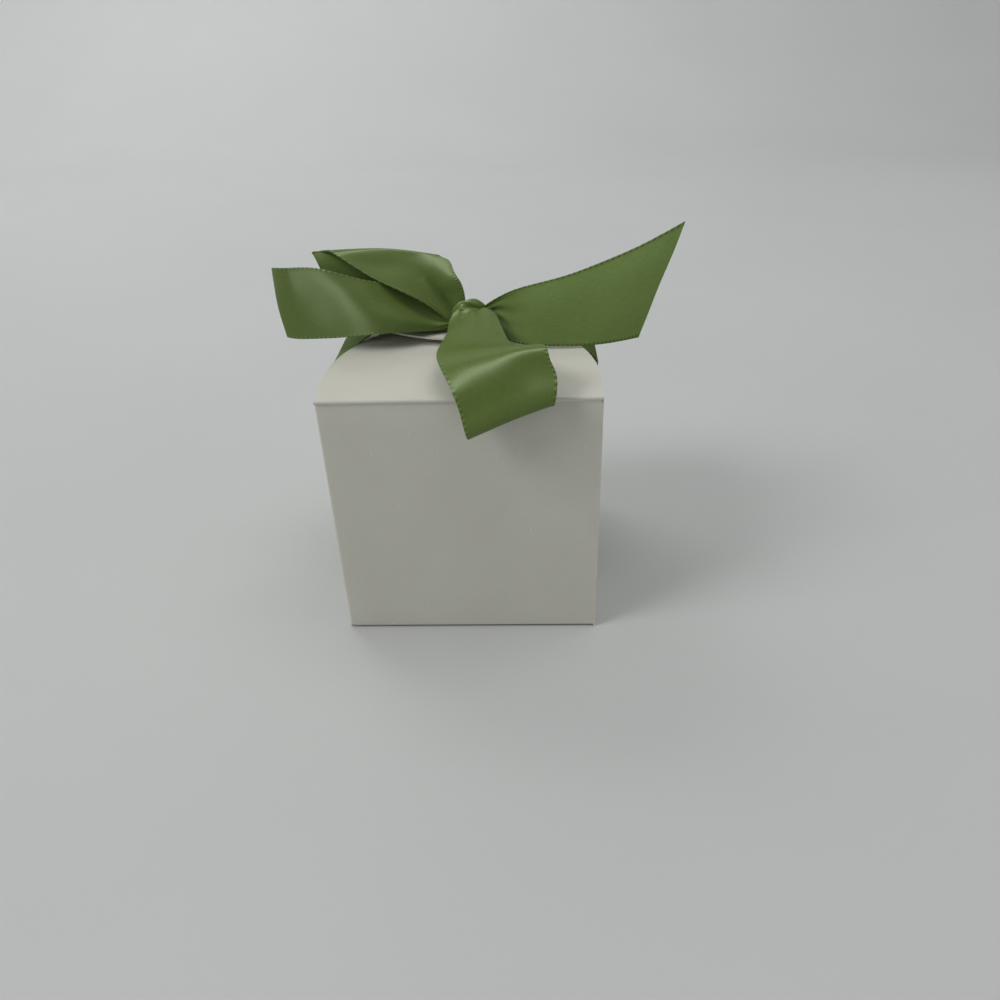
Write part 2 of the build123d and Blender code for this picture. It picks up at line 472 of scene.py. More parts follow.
def smooth_line(points: np.ndarray, knots: np.ndarray, at: np.ndarray) -> np.ndarray:
    """Reads a natural cubic curve.

    Args:
        points: The points that the curve goes through, in rows.
        knots: Where along the curve each of them is.
        at: Where to read it.

    Returns:
        The points read, in rows.
    """
    count = len(knots)
    steps = np.diff(knots)
    flat = points.reshape(count, -1)
    slopes = np.diff(flat, axis=0) / steps[:, None]
    system = np.eye(count)
    turns = np.zeros_like(flat)
    for i in range(1, count - 1):
        system[i, i - 1:i + 2] = steps[i - 1], 2 * (steps[i - 1] + steps[i]), steps[i]
        turns[i] = 6 * (slopes[i] - slopes[i - 1])
    bends = np.linalg.solve(system, turns)
    k = np.clip(np.searchsorted(knots, at, side="right") - 1, 0, count - 2)
    step = steps[k][:, None]
    after = (at - knots[k])[:, None]
    before = step - after
    curve = (bends[k] * before**3 + bends[k + 1] * after**3) / (6 * step)
    curve += (flat[k] / step - bends[k] * step / 6) * before
    curve += (flat[k + 1] / step - bends[k + 1] * step / 6) * after
    return curve.reshape(len(at), *points.shape[1:])


def pull_edges(plan: Plan, edges: list[Edge], shift: Point) -> list[Edge]:
    """Extrudes a row of edges.

    Args:
        plan: The mesh.
        edges: The row.
        shift: How far it is pulled.

    Returns:
        The new row.
    """
    grown = bmesh.ops.extrude_edge_only(plan, edges=edges)["geom"]
    verts = [part for part in grown if isinstance(part, Vert)]
    bmesh.ops.translate(plan, vec=shift, verts=verts)
    return [part for part in grown if isinstance(part, Edge) and set(part.verts) <= set(verts)]


def new_piece(name: str, plan: Plan, materials: list[Material], unit: float = MM) -> Piece:
    """Makes an object from a mesh.

    Args:
        name: The piece's name.
        plan: The mesh, which is freed.
        materials: The object's materials, by index.
        unit: The mesh's unit in metres.

    Returns:
        The object, in metres.
    """
    bmesh.ops.scale(plan, vec=Vector((unit, unit, unit)), verts=plan.verts)
    mesh = bpy.data.meshes.new(name)
    plan.to_mesh(mesh)
    plan.free()
    piece = bpy.data.objects.new(name, mesh)
    for material in materials:
        mesh.materials.append(material)
    bpy.context.scene.collection.objects.link(piece)
    return piece


def settle(piece: Piece, sharp_angle: float) -> None:
    """Applies a piece's modifiers to its mesh, and shades it.

    Args:
        piece: The piece.
        sharp_angle: The angle between two faces, in degrees, from which their edge is sharp.
    """
    graph = bpy.context.evaluated_depsgraph_get()
    mesh = bpy.data.meshes.new_from_object(piece.evaluated_get(graph))
    piece.modifiers.clear()
    piece.data = mesh
    mesh.shade_smooth()
    mesh.set_sharp_from_angle(angle=radians(sharp_angle))


def declare(piece: Piece, body: Body, slot: Slot, *nodes: str) -> None:
    """Sets a piece on its body, and hides the imported parts of the nodes that it stands for.

    Args:
        piece: The piece.
        body: Its body.
        slot: Its material slot; not used.
        nodes: The nodes.
    """
    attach(piece, body.value)
    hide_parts(*nodes)
    LOG.info("%s: %d faces, on %s", piece.name, len(piece.data.polygons), body.value)


@dataclass
class BoardFold:
    """A fold along one side of a sheet of board.

    Attributes:
        out: The way out of the sheet, over the folded side.
        into: The way that the board turns.
        radius: Radius of the fold at the middle of the board.
        turn: How far the sheet carries on round the fold, in degrees.
    """

    out: Point
    into: Point
    radius: float
    turn: float


@dataclass
class Carton:
    """The folded carton. Sizes are in millimetres."""

    finishes: Finishes
    width: float = 50.8
    depth: float = 50.8
    height: float = 50.8
    base: float = 0.3
    board: float = 0.4
    fold_gap: float = 0.05
    fold_radius: float = 0.35
    bead_radius: float = 0.42
    score_drop: float = 0.55
    score_width: float = 0.5
    score_depth: float = 0.07
    flap_overlap: float = 6.4
    flap_side: float = 6.4
    front_lift: float = 9.5
    front_rim_slope: float = 2.5
    back_rim_slope: float = -3.0
    flap_clearance: float = 0.2
    dust_length: float = 20.0
    dust_inset: float = 1.5
    dust_round: float = 6.0
    tab_width: float = 9.0
    tab_inset: float = 5.0
    bottom_overlap: float = 6.0
    bottom_side_length: float = 18.0
    bottom_inset: float = 0.5
    bottom_side_turn: float = 70.0
    sharp_angle: float = 50.0

    SHEET_STEPS = 12
    FOLD_STEPS = 5
    ARCH_COLUMNS = 96
    ARCH_ROWS = 48
    BEAD_SIDES = 20
    CORNER_STEPS = 10

    def __post_init__(self) -> None:
        """Works out where the sizes put the carton's edges."""
        self.half_x = self.width / 2
        self.half_y = self.depth / 2
        self.mid_x = self.half_x - self.board / 2
        self.mid_y = self.half_y - self.board / 2
        self.top = self.base + self.height
        self.axis_z = self.top + self.fold_gap + self.board / 2
        self.side_top = self.top - self.board - self.fold_gap
        self.flap_reach = self.half_y + self.flap_overlap
        self.flap_run = self.flap_reach - self.board / 2
        self.floor_z = self.base + self.board / 2
        self.touch = self.board / 10

    def sheet(self, corner: Point, run: Point, rise: Point, folds: list[BoardFold]) -> Plan:
        """Makes the middle face of a flat sheet and of its folds.

        Args:
            corner: One corner of the flat part.
            run: One side, from that corner.
            rise: The other side.
            folds: The folds, of which each takes the flat part's side that is furthest out.

        Returns:
            The mesh.
        """
        plan = bmesh.new()
        bmesh.ops.create_grid(plan, x_segments=self.SHEET_STEPS, y_segments=self.SHEET_STEPS, size=0.5)
        for vert in plan.verts:
            along, up = vert.co.x + 0.5, vert.co.y + 0.5
            vert.co = Vector(corner) + along * Vector(run) + up * Vector(rise)
        flat = list(plan.verts)
        for fold in folds:
            self.turn_over(plan, flat, fold)
        return plan

    def turn_over(self, plan: Plan, flat: list[Vert], fold: BoardFold) -> None:
        """Spins a sheet's side round a fold.

        Args:
            plan: The sheet's mesh.
            flat: The vertices of its flat part.
            fold: The fold.
        """
        out, into = Vector(fold.out), Vector(fold.into)
        reach = max(vert.co.dot(out) for vert in flat)
        edge = {vert for vert in flat if reach - vert.co.dot(out) < self.touch}
        sides = [e for e in plan.edges if set(e.verts) <= edge]
        centre = next(iter(edge)).co + into * fold.radius
        bmesh.ops.spin(
            plan, geom=sides + list(edge), cent=centre, axis=out.cross(into), dvec=(0.0, 0.0, 0.0),
            angle=radians(fold.turn), steps=self.FOLD_STEPS, use_duplicate=False,
        )

    def thicken(self, name: str, plan: Plan) -> Piece:
        """Gives a sheet the thickness of the board, with raw edges.

        Args:
            name: The piece's name.
            plan: The sheet's middle face.

        Returns:
            The piece.
        """
        bmesh.ops.recalc_face_normals(plan, faces=plan.faces)
        piece = new_piece(name, plan, [self.finishes.board, self.finishes.raw_edge])
        wall = piece.modifiers.new("board", "SOLIDIFY")
        wall.thickness = self.board * MM
        wall.offset = 0.0
        wall.use_even_offset = True
        wall.material_offset_rim = 1
        settle(piece, self.sharp_angle)
        return piece

    def half_fold(self, out: Point, into: Point) -> BoardFold:
        """A sheet's half of a square fold that it shares with its neighbour."""
        return BoardFold(out, into, self.fold_radius, 45.0)

    def scored_top(self, plan: Plan, end: End) -> None:
        """Carries a panel up to its flap, past the pressed score line.

        Args:
            plan: The panel's mesh, which ends below the score.
            end: The panel's end of the carton.
        """
        start = self.axis_z - self.score_drop - self.score_width
        steps = (
            (self.score_width / 2, self.score_depth),
            (self.score_width / 2, 0.0),
            (self.score_drop / 2, -self.score_depth),
            (self.score_drop / 2, 0.0),
        )
        edges = [e for e in plan.edges if all(v.co.z > start - self.touch for v in e.verts)]
        for rise, inward in steps:
            edges = pull_edges(plan, edges, (0.0, -end.value * inward, rise))

    def wall(self, end: End) -> Piece:
        """Makes the front panel or the back panel.

        Args:
            end: Its end of the carton.

        Returns:
            The piece.
        """
        radius = self.fold_radius
        low_x = -self.mid_x + radius
        high_x = self.half_x - self.board
        low_z = self.floor_z + radius
        high_z = self.axis_z - self.score_drop - self.score_width
        inward = (0.0, -end.value, 0.0)
        folds = [self.half_fold((-1.0, 0.0, 0.0), inward), self.half_fold((0.0, 0.0, -1.0), inward)]
        if end is End.BACK:
            high_x = self.mid_x - radius
            folds.append(self.half_fold((1.0, 0.0, 0.0), inward))
        corner = (low_x, end.value * self.mid_y, low_z)
        plan = self.sheet(corner, (high_x - low_x, 0.0, 0.0), (0.0, 0.0, high_z - low_z), folds)
        self.scored_top(plan, end)
        return self.thicken(f"{end.name.lower()}_wall", plan)

    def side_wall(self, hand: Hand) -> Piece:
        """Makes the left panel, or the right panel, whose raw front edge shows.

        Args:
            hand: Its side of the carton.

        Returns:
            The piece.
        """
        radius = self.fold_radius
        inward = (-hand.value, 0.0, 0.0)
        folds = [self.half_fold((0.0, 1.0, 0.0), inward)]
        low_y = -self.half_y
        if hand is Hand.LEFT:
            low_y = -self.mid_y + radius
            folds.append(self.half_fold((0.0, -1.0, 0.0), inward))
        corner = (hand.value * self.mid_x, low_y, self.base)
        run = (0.0, self.mid_y - radius - low_y, 0.0)
        plan = self.sheet(corner, run, (0.0, 0.0, self.side_top - self.base), folds)
        return self.thicken(f"{hand.name.lower()}_wall", plan)

    def tab(self) -> Piece:
        """Makes the glue tab, with slanted ends, inside the right panel.

        Returns:
            The piece.
        """
        x = self.mid_x - self.board
        start = -self.half_y + self.board
        low = self.base + self.tab_inset
        high = self.side_top - self.tab_inset
        run = (0.0, self.tab_width, 0.0)
        plan = self.sheet((x, start, low), run, (0.0, 0.0, high - low), [])
        middle = (low + high) / 2
        for vert in plan.verts:
            share = (vert.co.y - start) / self.tab_width
            vert.co.z = middle + (vert.co.z - middle) * (1 - 2 * self.tab_inset * share / (high - low))
        return self.thicken("tab", plan)

    def arch(self, run: float, lift: float, rim_slope: float) -> float:
        """Rise of a closure flap over its fold, at a run from it.

        Args:
            run: How far from the fold.
            lift: The flap's slope at the fold, in degrees.
            rim_slope: Its slope at the rim, in degrees.

        Returns:
            The rise.
        """
        radius = self.flap_run / (sin(radians(lift)) - sin(radians(rim_slope)))
        slope = asin(sin(radians(lift)) - run / radius)
        return radius * (cos(slope) - cos(radians(lift)))

    def back_lift(self) -> float:
        """Slope of the back flap at its fold, in degrees, so that it lies on the front flap's rim.

        Returns:
            The slope.
        """
        rise = self.arch(self.flap_run, self.front_lift, self.front_rim_slope) + self.board + self.flap_clearance
        run = self.mid_y - self.flap_overlap
        bend = run**2 / (2 * self.flap_run)
        return degrees(atan((rise - tan(radians(self.back_rim_slope)) * bend) / (run - bend)))

    def closure_flap(self, end: End) -> Piece:
        """Makes a half-round closure flap, arched over the top, with the bead of its fold.

        Args:
            end: Its end of the carton.

        Returns:
            The piece.
        """
        side = end.value
        lift, rim_slope = self.front_lift, self.front_rim_slope
        if end is End.BACK:
            lift, rim_slope = self.back_lift(), self.back_rim_slope
        rim_depth = self.flap_reach - self.flap_side
        plan = bmesh.new()
        bmesh.ops.create_grid(plan, x_segments=self.ARCH_COLUMNS, y_segments=self.ARCH_ROWS, size=1.0)
        for vert in plan.verts:
            turn = vert.co.x * pi / 2
            run = (vert.co.y + 1) / 2 * (self.flap_side + rim_depth * cos(turn) - self.board / 2)
            rise = self.arch(run, lift, rim_slope)
            vert.co = (-side * self.half_x * sin(turn), side * (self.mid_y - run), self.axis_z + rise)
        flap = self.thicken(f"{end.name.lower()}_lid_flap", plan)
        self.add_bead(flap, end)
        return flap

    def add_bead(self, flap: Piece, end: End) -> None:
        """Adds the rounded ridge of a fold to a closure flap.

        Args:
            flap: The flap, in metres.
            end: Its end of the carton.
        """
        plan = bmesh.new()
        plan.from_mesh(flap.data)
        fold = Vector((0.0, end.value * self.mid_y, self.axis_z)) * MM
        place = Matrix.Translation(fold) @ Matrix.Rotation(pi / 2, 4, "Y")
        radius = self.bead_radius * MM
        bmesh.ops.create_cone(
            plan, cap_ends=True, segments=self.BEAD_SIDES, radius1=radius, radius2=radius, depth=self.width * MM,
            matrix=place,
        )
        plan.to_mesh(flap.data)
        plan.free()
        flap.data.shade_smooth()
        flap.data.set_sharp_from_angle(angle=radians(self.sharp_angle))

    def dust_flap(self, hand: Hand) -> Piece:
        """Makes a dust flap with rounded corners, folded over a side panel.

        Args:
            hand: Its side of the carton.

        Returns:
            The piece.
        """
        side = hand.value
        half = self.half_y - self.board - self.dust_inset
        radius = self.board / 2
        start = side * (self.mid_x - radius)
        end = side * (self.mid_x - self.dust_length)
        plan = bmesh.new()
        bmesh.ops.create_grid(plan, x_segments=1, y_segments=1, size=0.5)
        for vert in plan.verts:
            vert.co = (start if vert.co.x < 0 else end, 2 * half * vert.co.y, self.top - self.board / 2)
        flat = list(plan.verts)
        self.turn_over(plan, flat, BoardFold((side, 0.0, 0.0), (0.0, 0.0, -1.0), radius, 90.0))
        corners = [vert for vert in flat if vert.co.x == end]
        bmesh.ops.bevel(
            plan, geom=corners, offset=self.dust_round, segments=self.CORNER_STEPS, profile=0.5, affect="VERTICES",
            material=-1,
        )
        return self.thicken(f"{hand.name.lower()}_tuck_flap", plan)

    def bottom_flap(self, end: End) -> Piece:
        """Makes the front or the back bottom flap. The back one rises to lie on the front one.

        Args:
            end: Its end of the carton.

        Returns:
            The piece.
        """
        side = end.value
        half = self.half_x - self.board - self.bottom_inset
        start = side * (self.mid_y - self.fold_radius)
        reach = -side * self.bottom_overlap - start
        fold = self.half_fold((0.0, side, 0.0), (0.0, 0.0, 1.0))
        plan = self.sheet((-half, start, self.floor_z), (2 * half, 0.0, 0.0), (0.0, reach, 0.0), [fold])
        if end is End.BACK:
            for vert in plan.verts:
                share = min(1.0, max(0.0, (start - vert.co.y) / (start - self.bottom_overlap)))
                vert.co.z += self.board * share
        return self.thicken(f"{end.name.lower()}_floor_flap", plan)

    def bottom_side_flap(self, hand: Hand) -> Piece:
        """Makes the left or the right bottom flap, which lies inside on the other two.

        Args:
            hand: Its side of the carton.

        Returns:
            The piece.
        """
        side = hand.value
        half = self.half_y - self.board - self.bottom_inset
        radius = self.board
        start = side * (self.half_x - self.board * 1.5 - radius)
        end = side * (self.half_x - self.board - self.bottom_side_length)
        height = self.floor_z + 2 * self.board
        fold = BoardFold((side, 0.0, 0.0), (0.0, 0.0, 1.0), radius, self.bottom_side_turn)
        plan = self.sheet((start, -half, height), (end - start, 0.0, 0.0), (0.0, 2 * half, 0.0), [fold])
        return self.thicken(f"{hand.name.lower()}_floor_flap", plan)

    def build(self) -> None:
        """Builds the carton's pieces and sets them on their bodies."""
        fixed, board = Body.BOX, Slot.BOARD
        for end in End:
            declare(self.wall(end), fixed, board, f"{end.name.lower()}_panel")
        for hand in Hand:
            declare(self.side_wall(hand), fixed, board, f"{hand.name.lower()}_panel")
        declare(self.tab(), fixed, board, "glue_tab")
        for end in End:
            declare(self.closure_flap(end), Body[f"{end.name}_FLAP"], board, f"{end.name.lower()}_closure_flap")
        for hand in Hand:
            declare(self.dust_flap(hand), Body[f"{hand.name}_FLAP"], board, f"{hand.name.lower()}_dust_flap")
        for end in End:
            declare(self.bottom_flap(end), fixed, board, f"{end.name.lower()}_bottom_flap")
        for hand in Hand:
            declare(self.bottom_side_flap(hand), fixed, board, f"{hand.name.lower()}_bottom_flap")


@dataclass
class Pleats:
    """Small folds along the ribbon, which fade out away from the knot.

    Attributes:
        count: Folds across the ribbon.
        depth: Their height at the knot, in millimetres.
        reach: How far they run, in millimetres.
        at_end: Whether they also gather the stretch's other end.
    """

    count: float
    depth: float
    reach: float
    at_end: bool = False


@dataclass
class Crease:
    """A soft ridge, or a furrow, along a line on the ribbon, which fades towards the line's end. Millimetres.

    Attributes:
        start: Where the line starts.
        end: Where it ends.
        height: How far the ribbon stands out there, or sinks in if it is negative.
        spread: How far from the line it fades out.
        until: Share of the stretch's length up to which the ribbon is moved.
    """

    start: Point
    end: Point
    height: float
    spread: float
    until: float = 0.5

    OUT = np.array((0.0, -0.85, 0.53))

    def shift(self, surface: np.ndarray) -> np.ndarray:
        """Works out how far the crease moves each point.

        Args:
            surface: The strip's points by column and row.

        Returns:
            The shifts, by column and row.
        """
        start = np.array(self.start)
        line = np.array(self.end) - start
        share = np.clip((surface - start) @ line / (line @ line), 0.0, 1.0)
        off = np.linalg.norm(surface - start - share[:, :, None] * line, axis=2)
        size = self.height * np.exp(-((off / self.spread) ** 2)) * (1.0 - share**2)
        size[:, round(self.until * size.shape[1]):] = 0.0
        return size[:, :, None] * self.OUT


@dataclass
class RibbonStrip:
    """A stretch of the ribbon, lofted through sections from one selvedge to the other. Millimetres.

    Attributes:
        name: The piece's name.
        node: The node that it stands for.
        sections: Points across the ribbon, section after section along it.
        hold: How it is held; not used.
        flat_length: Its length before it was tied; not used.
        flat_share: The cut's share of a rectangle of that length; not used.
        pleats: Its small folds, if any.
        creases: Its ridges and furrows.
        flipped: Whether the loft shows the ribbon's back.
        rests_on: What it lies on or hangs from; not used.
    """

    name: str
    node: str
    sections: tuple[Section, ...]
    hold: Hold
    flat_length: float
    flat_share: float = 1.0
    pleats: Pleats | None = None
    creases: tuple[Crease, ...] = ()
    flipped: bool = False
    rests_on: tuple[str, ...] = ("knot",)

    UV_MAP = "weave"
    WIDTH = 15.9
    THICKNESS = 0.24
    ROW = 0.16
    MIN_ROWS = 8
    COLUMNS = 40
    SHARP_ANGLE = 80.0
    BEAD_PITCH = 0.94
    BEAD_WIDTH = 0.5
    BEAD_THICKNESS = 0.38
    EDGE_COLUMNS = 4

    def shares(self) -> np.ndarray:
        """Places of the columns across the ribbon, closer together along the selvedges.

        Returns:
            Shares of the width.
        """
        edge = self.BEAD_WIDTH / self.WIDTH
        beads = np.linspace(0.0, edge, self.EDGE_COLUMNS + 1)
        body = np.linspace(edge, 1.0 - edge, self.COLUMNS - 2 * self.EDGE_COLUMNS + 1)
        return np.concatenate([beads[:-1], body, 1.0 - beads[-2::-1]])

    def loft(self) -> tuple[np.ndarray, np.ndarray]:
        """Lofts the strip.

        Returns:
            Its points by column and row, and each row's place along it.
        """
        points = np.array(self.sections, float)
        middle = points.mean(axis=1)
        steps = np.linalg.norm(np.diff(middle, axis=0), axis=1)
        knots = np.concatenate([[0.0], np.cumsum(steps)])
        along = np.linspace(0.0, knots[-1], max(self.MIN_ROWS, round(knots[-1] / self.ROW)) + 1)
        rows = smooth_line(points, knots, along)
        lines = np.linspace(0.0, 1.0, points.shape[1])
        surface = smooth_line(rows.transpose(1, 0, 2), lines, self.shares())
        for crease in self.creases:
            surface = surface + crease.shift(surface)
        if self.pleats:
            surface = surface + self.pleat_shift(surface, along)
        return surface, along

    def pleat_shift(self, surface: np.ndarray, along: np.ndarray) -> np.ndarray:
        """Works out how far the pleats move each point.

        Args:
            surface: The strip's points by column and row.
            along: Each row's place along it.

        Returns:
            The shifts, by column and row.
        """
        normal = np.cross(np.gradient(surface, axis=0), np.gradient(surface, axis=1))
        normal /= np.linalg.norm(normal, axis=2, keepdims=True) + 1e-12
        fade = np.exp(-((along / self.pleats.reach) ** 2))
        if self.pleats.at_end:
            fade = fade + np.exp(-(((along[-1] - along) / self.pleats.reach) ** 2))
        wave = np.cos(2 * pi * self.pleats.count * self.shares())
        return normal * (self.pleats.depth * wave[:, None] * fade[None, :])[:, :, None]

    def weights(self, along: np.ndarray) -> np.ndarray:
        """Shares of the beads' thickness, by column and row.

        Args:
            along: Each row's place along the strip.

        Returns:
            The shares.
        """
        from_edge = np.minimum(self.shares(), 1.0 - self.shares()) * self.WIDTH
        ridge = np.clip(1.0 - (2 * from_edge / self.BEAD_WIDTH - 1.0) ** 2, 0.0, 1.0)
        beads = 0.5 + 0.5 * np.cos(2 * pi * along / self.BEAD_PITCH)
        thin = self.THICKNESS / self.BEAD_THICKNESS
        return thin + (1.0 - thin) * ridge[:, None] * beads[None, :]

    def build(self, finishes: Finishes) -> Piece:
        """Builds the piece and sets it on its body.

        Args:
            finishes: The materials.

        Returns:
            The piece.
        """
        surface, along = self.loft()
        weights = self.weights(along)
        shares = self.shares()
        columns, rows = len(shares) - 1, len(along) - 1
        plan = bmesh.new()
        uv = plan.loops.layers.uv.new(self.UV_MAP)
        thickness = plan.verts.layers.deform.verify()
        bmesh.ops.create_grid(plan, x_segments=columns, y_segments=rows, size=1.0)
        places = {}
        for vert in plan.verts:
            i, j = round((vert.co.x + 1) / 2 * columns), round((vert.co.y + 1) / 2 * rows)
            places[vert] = (along[j], shares[i] * self.WIDTH)
            vert.co = surface[i, j]
            vert[thickness][0] = weights[i, j]
        for face in plan.faces:
            for loop in face.loops:
                loop[uv].uv = places[loop.vert]
        sides = [finishes.satin[SatinSide.FACE], finishes.satin[SatinSide.BACK]]
        piece = new_piece(self.name, plan, sides[::-1] if self.flipped else sides)
        piece.vertex_groups.new(name="thickness")
        cloth = piece.modifiers.new("cloth", "SOLIDIFY")
        cloth.thickness = self.BEAD_THICKNESS * MM
        cloth.offset = 0.0
        cloth.vertex_group = "thickness"
        cloth.material_offset = 1
        settle(piece, self.SHARP_ANGLE)
        piece.vertex_groups.clear()
        declare(piece, Body.BOX, Slot.RIBBON, self.node)
        return piece


LEFT_LOOP: tuple[Section, ...] = (
    ((-2.8, -3.2, 57.2), (-2.8, -3.3, 57.4), (-2.7, -3.0, 57.6), (-2.5, -2.2, 57.6), (-2.4, -1.4, 57.6)),
    ((-4.7, -3.8, 56.8), (-4.9, -4.1, 57.2), (-5.0, -3.6, 57.8), (-5.1, -2.2, 58.3), (-5.4, -1.0, 59.2)),
    ((-8.3, -5.4, 56.9), (-8.3, -5.9, 58.1), (-8.5, -5.0, 59.2), (-8.8, -2.2, 60.2), (-9.2, -0.9, 61.6)),
    ((-12.5, -7.2, 57.4), (-12.6, -7.6, 59.3), (-12.8, -6.9, 61.1), (-13.1, -4.2, 62.8), (-13.3, -1.5, 64.6)),
    ((-17.7, -7.9, 57.3), (-18.0, -8.0, 59.8), (-18.3, -7.8, 62.3), (-18.2, -6.7, 64.9), (-18.1, -4.7, 66.8)),
    ((-24.3, -7.0, 56.5), (-24.6, -6.8, 59.5), (-24.9, -6.5, 62.7), (-25.3, -6.1, 66.0), (-25.3, -5.5, 69.2)),
    ((-29.6, -5.6, 55.9), (-29.8, -5.5, 59.3), (-30.1, -5.4, 62.6), (-30.3, -5.2, 66.0), (-30.3, -4.9, 69.5)),
    ((-34.1, -3.8, 55.5), (-34.4, -3.8, 58.8), (-34.6, -3.8, 62.2), (-34.6, -3.8, 65.7), (-34.5, -3.8, 69.2)),
    ((-35.0, -2.9, 55.6), (-35.5, -2.8, 58.7), (-35.9, -2.5, 61.9), (-36.0, -2.2, 65.2), (-36.0, -1.9, 68.6)),
    ((-34.2, -2.2, 55.8), (-34.7, -1.8, 58.8), (-35.0, -1.3, 61.7), (-35.2, -0.9, 64.7), (-35.2, -0.5, 67.6)),
    ((-27.2, -2.4, 56.1), (-27.4, -1.9, 58.8), (-27.7, -1.5, 61.7), (-27.9, -1.1, 64.5), (-28.1, -0.4, 67.4)),
    ((-18.0, -2.4, 56.6), (-18.1, -1.9, 58.7), (-18.2, -1.3, 60.9), (-18.3, -0.7, 63.0), (-18.4, -0.2, 65.2)),
    ((-10.0, -0.7, 56.9), (-10.0, -0.5, 58.2), (-10.0, -0.3, 59.6), (-10.0, -0.1, 61.0), (-10.0, 0.1, 62.4)),
    ((-4.4, -0.8, 57.0), (-4.4, -0.6, 57.4), (-4.4, -0.5, 57.8), (-4.4, -0.4, 58.2), (-4.4, -0.4, 58.6)),
    ((-2.2, -1.0, 57.2), (-2.2, -0.8, 57.4), (-2.2, -0.6, 57.6), (-2.2, -0.6, 57.8), (-2.2, -0.6, 58.0)),
)

LEFT_TAIL: tuple[Section, ...] = (
    ((-2.8, -2.6, 57.6), (-2.7, -2.5, 57.8), (-2.7, -2.2, 58.0), (-2.2, -0.8, 59.0), (0.3, 0.2, 60.2)),
    ((-6.7, -3.4, 61.2), (-5.8, -3.0, 61.0), (-4.9, -1.9, 60.8), (-3.7, 0.2, 61.2), (-0.1, 0.6, 62.9)),
    ((-10.8, -3.9, 63.9), (-9.4, -3.0, 63.6), (-6.6, -1.2, 63.2), (-5.2, 0.5, 63.1), (-0.8, 1.0, 64.7)),
    ((-16.4, -3.4, 66.5), (-13.6, -2.4, 66.4), (-8.8, 0.2, 66.2), (-6.6, 1.3, 65.7), (-2.0, 2.6, 66.2)),
    ((-22.0, -2.2, 69.8), (-16.8, -1.1, 68.8), (-11.8, 1.0, 68.5), (-8.1, 2.4, 67.7), (-3.0, 4.5, 67.6)),
    ((-24.6, -0.9, 71.1), (-19.5, -0.3, 70.9), (-14.4, 1.6, 70.4), (-9.6, 3.6, 69.3), (-4.7, 5.7, 68.1)),
    ((-25.1, -0.5, 71.2), (-19.9, 0.1, 71.2), (-14.8, 1.9, 70.7), (-9.8, 3.9, 69.6), (-5.1, 6.1, 68.2)),
    ((-25.7, 0.2, 71.1), (-20.6, 0.8, 71.0), (-15.5, 2.6, 70.4), (-10.6, 4.6, 69.3), (-6.0, 6.6, 67.7)),
    ((-28.0, 1.5, 70.7), (-24.5, 0.9, 69.7), (-20.8, 0.9, 68.3), (-17.2, 1.3, 66.6), (-13.8, 2.0, 65.0)),
    ((-28.8, 1.2, 70.6), (-27.6, 0.5, 68.2), (-26.7, 0.5, 65.4), (-25.6, 0.6, 62.5), (-24.8, 0.8, 59.5)),
)

RIGHT_TAIL: tuple[Section, ...] = (
    ((3.4, -2.4, 57.2), (3.5, -2.9, 58.0), (3.6, -2.6, 58.8), (3.7, -2.2, 59.6), (3.6, -2.2, 60.3)),
    ((6.6, -4.2, 56.6), (6.4, -3.4, 58.2), (6.2, -2.8, 59.6), (6.0, -3.0, 61.0), (5.6, -3.1, 61.9)),
    ((8.6, -6.0, 55.2), (8.7, -5.0, 57.2), (8.8, -4.3, 59.3), (8.7, -4.0, 61.6), (8.6, -3.8, 63.6)),
    ((12.0, -7.6, 54.6), (12.2, -6.9, 57.2), (12.4, -6.2, 59.8), (12.4, -5.3, 62.4), (12.4, -4.2, 64.9)),
    ((17.0, -8.2, 54.5), (17.6, -7.6, 57.6), (18.0, -6.8, 60.6), (18.4, -5.7, 63.5), (18.8, -4.1, 66.4)),
    ((22.6, -8.1, 54.4), (23.4, -7.4, 57.9), (24.2, -6.4, 61.4), (24.9, -5.1, 64.9), (25.6, -3.3, 68.5)),
    ((28.0, -7.7, 54.7), (29.2, -7.0, 58.9), (30.4, -5.9, 63.0), (31.7, -4.5, 67.2), (33.0, -2.5, 71.3)),
    ((33.2, -7.0, 55.4), (35.1, -6.0, 60.4), (37.0, -4.7, 65.3), (39.2, -3.2, 70.3), (41.2, -1.5, 75.3)),
)

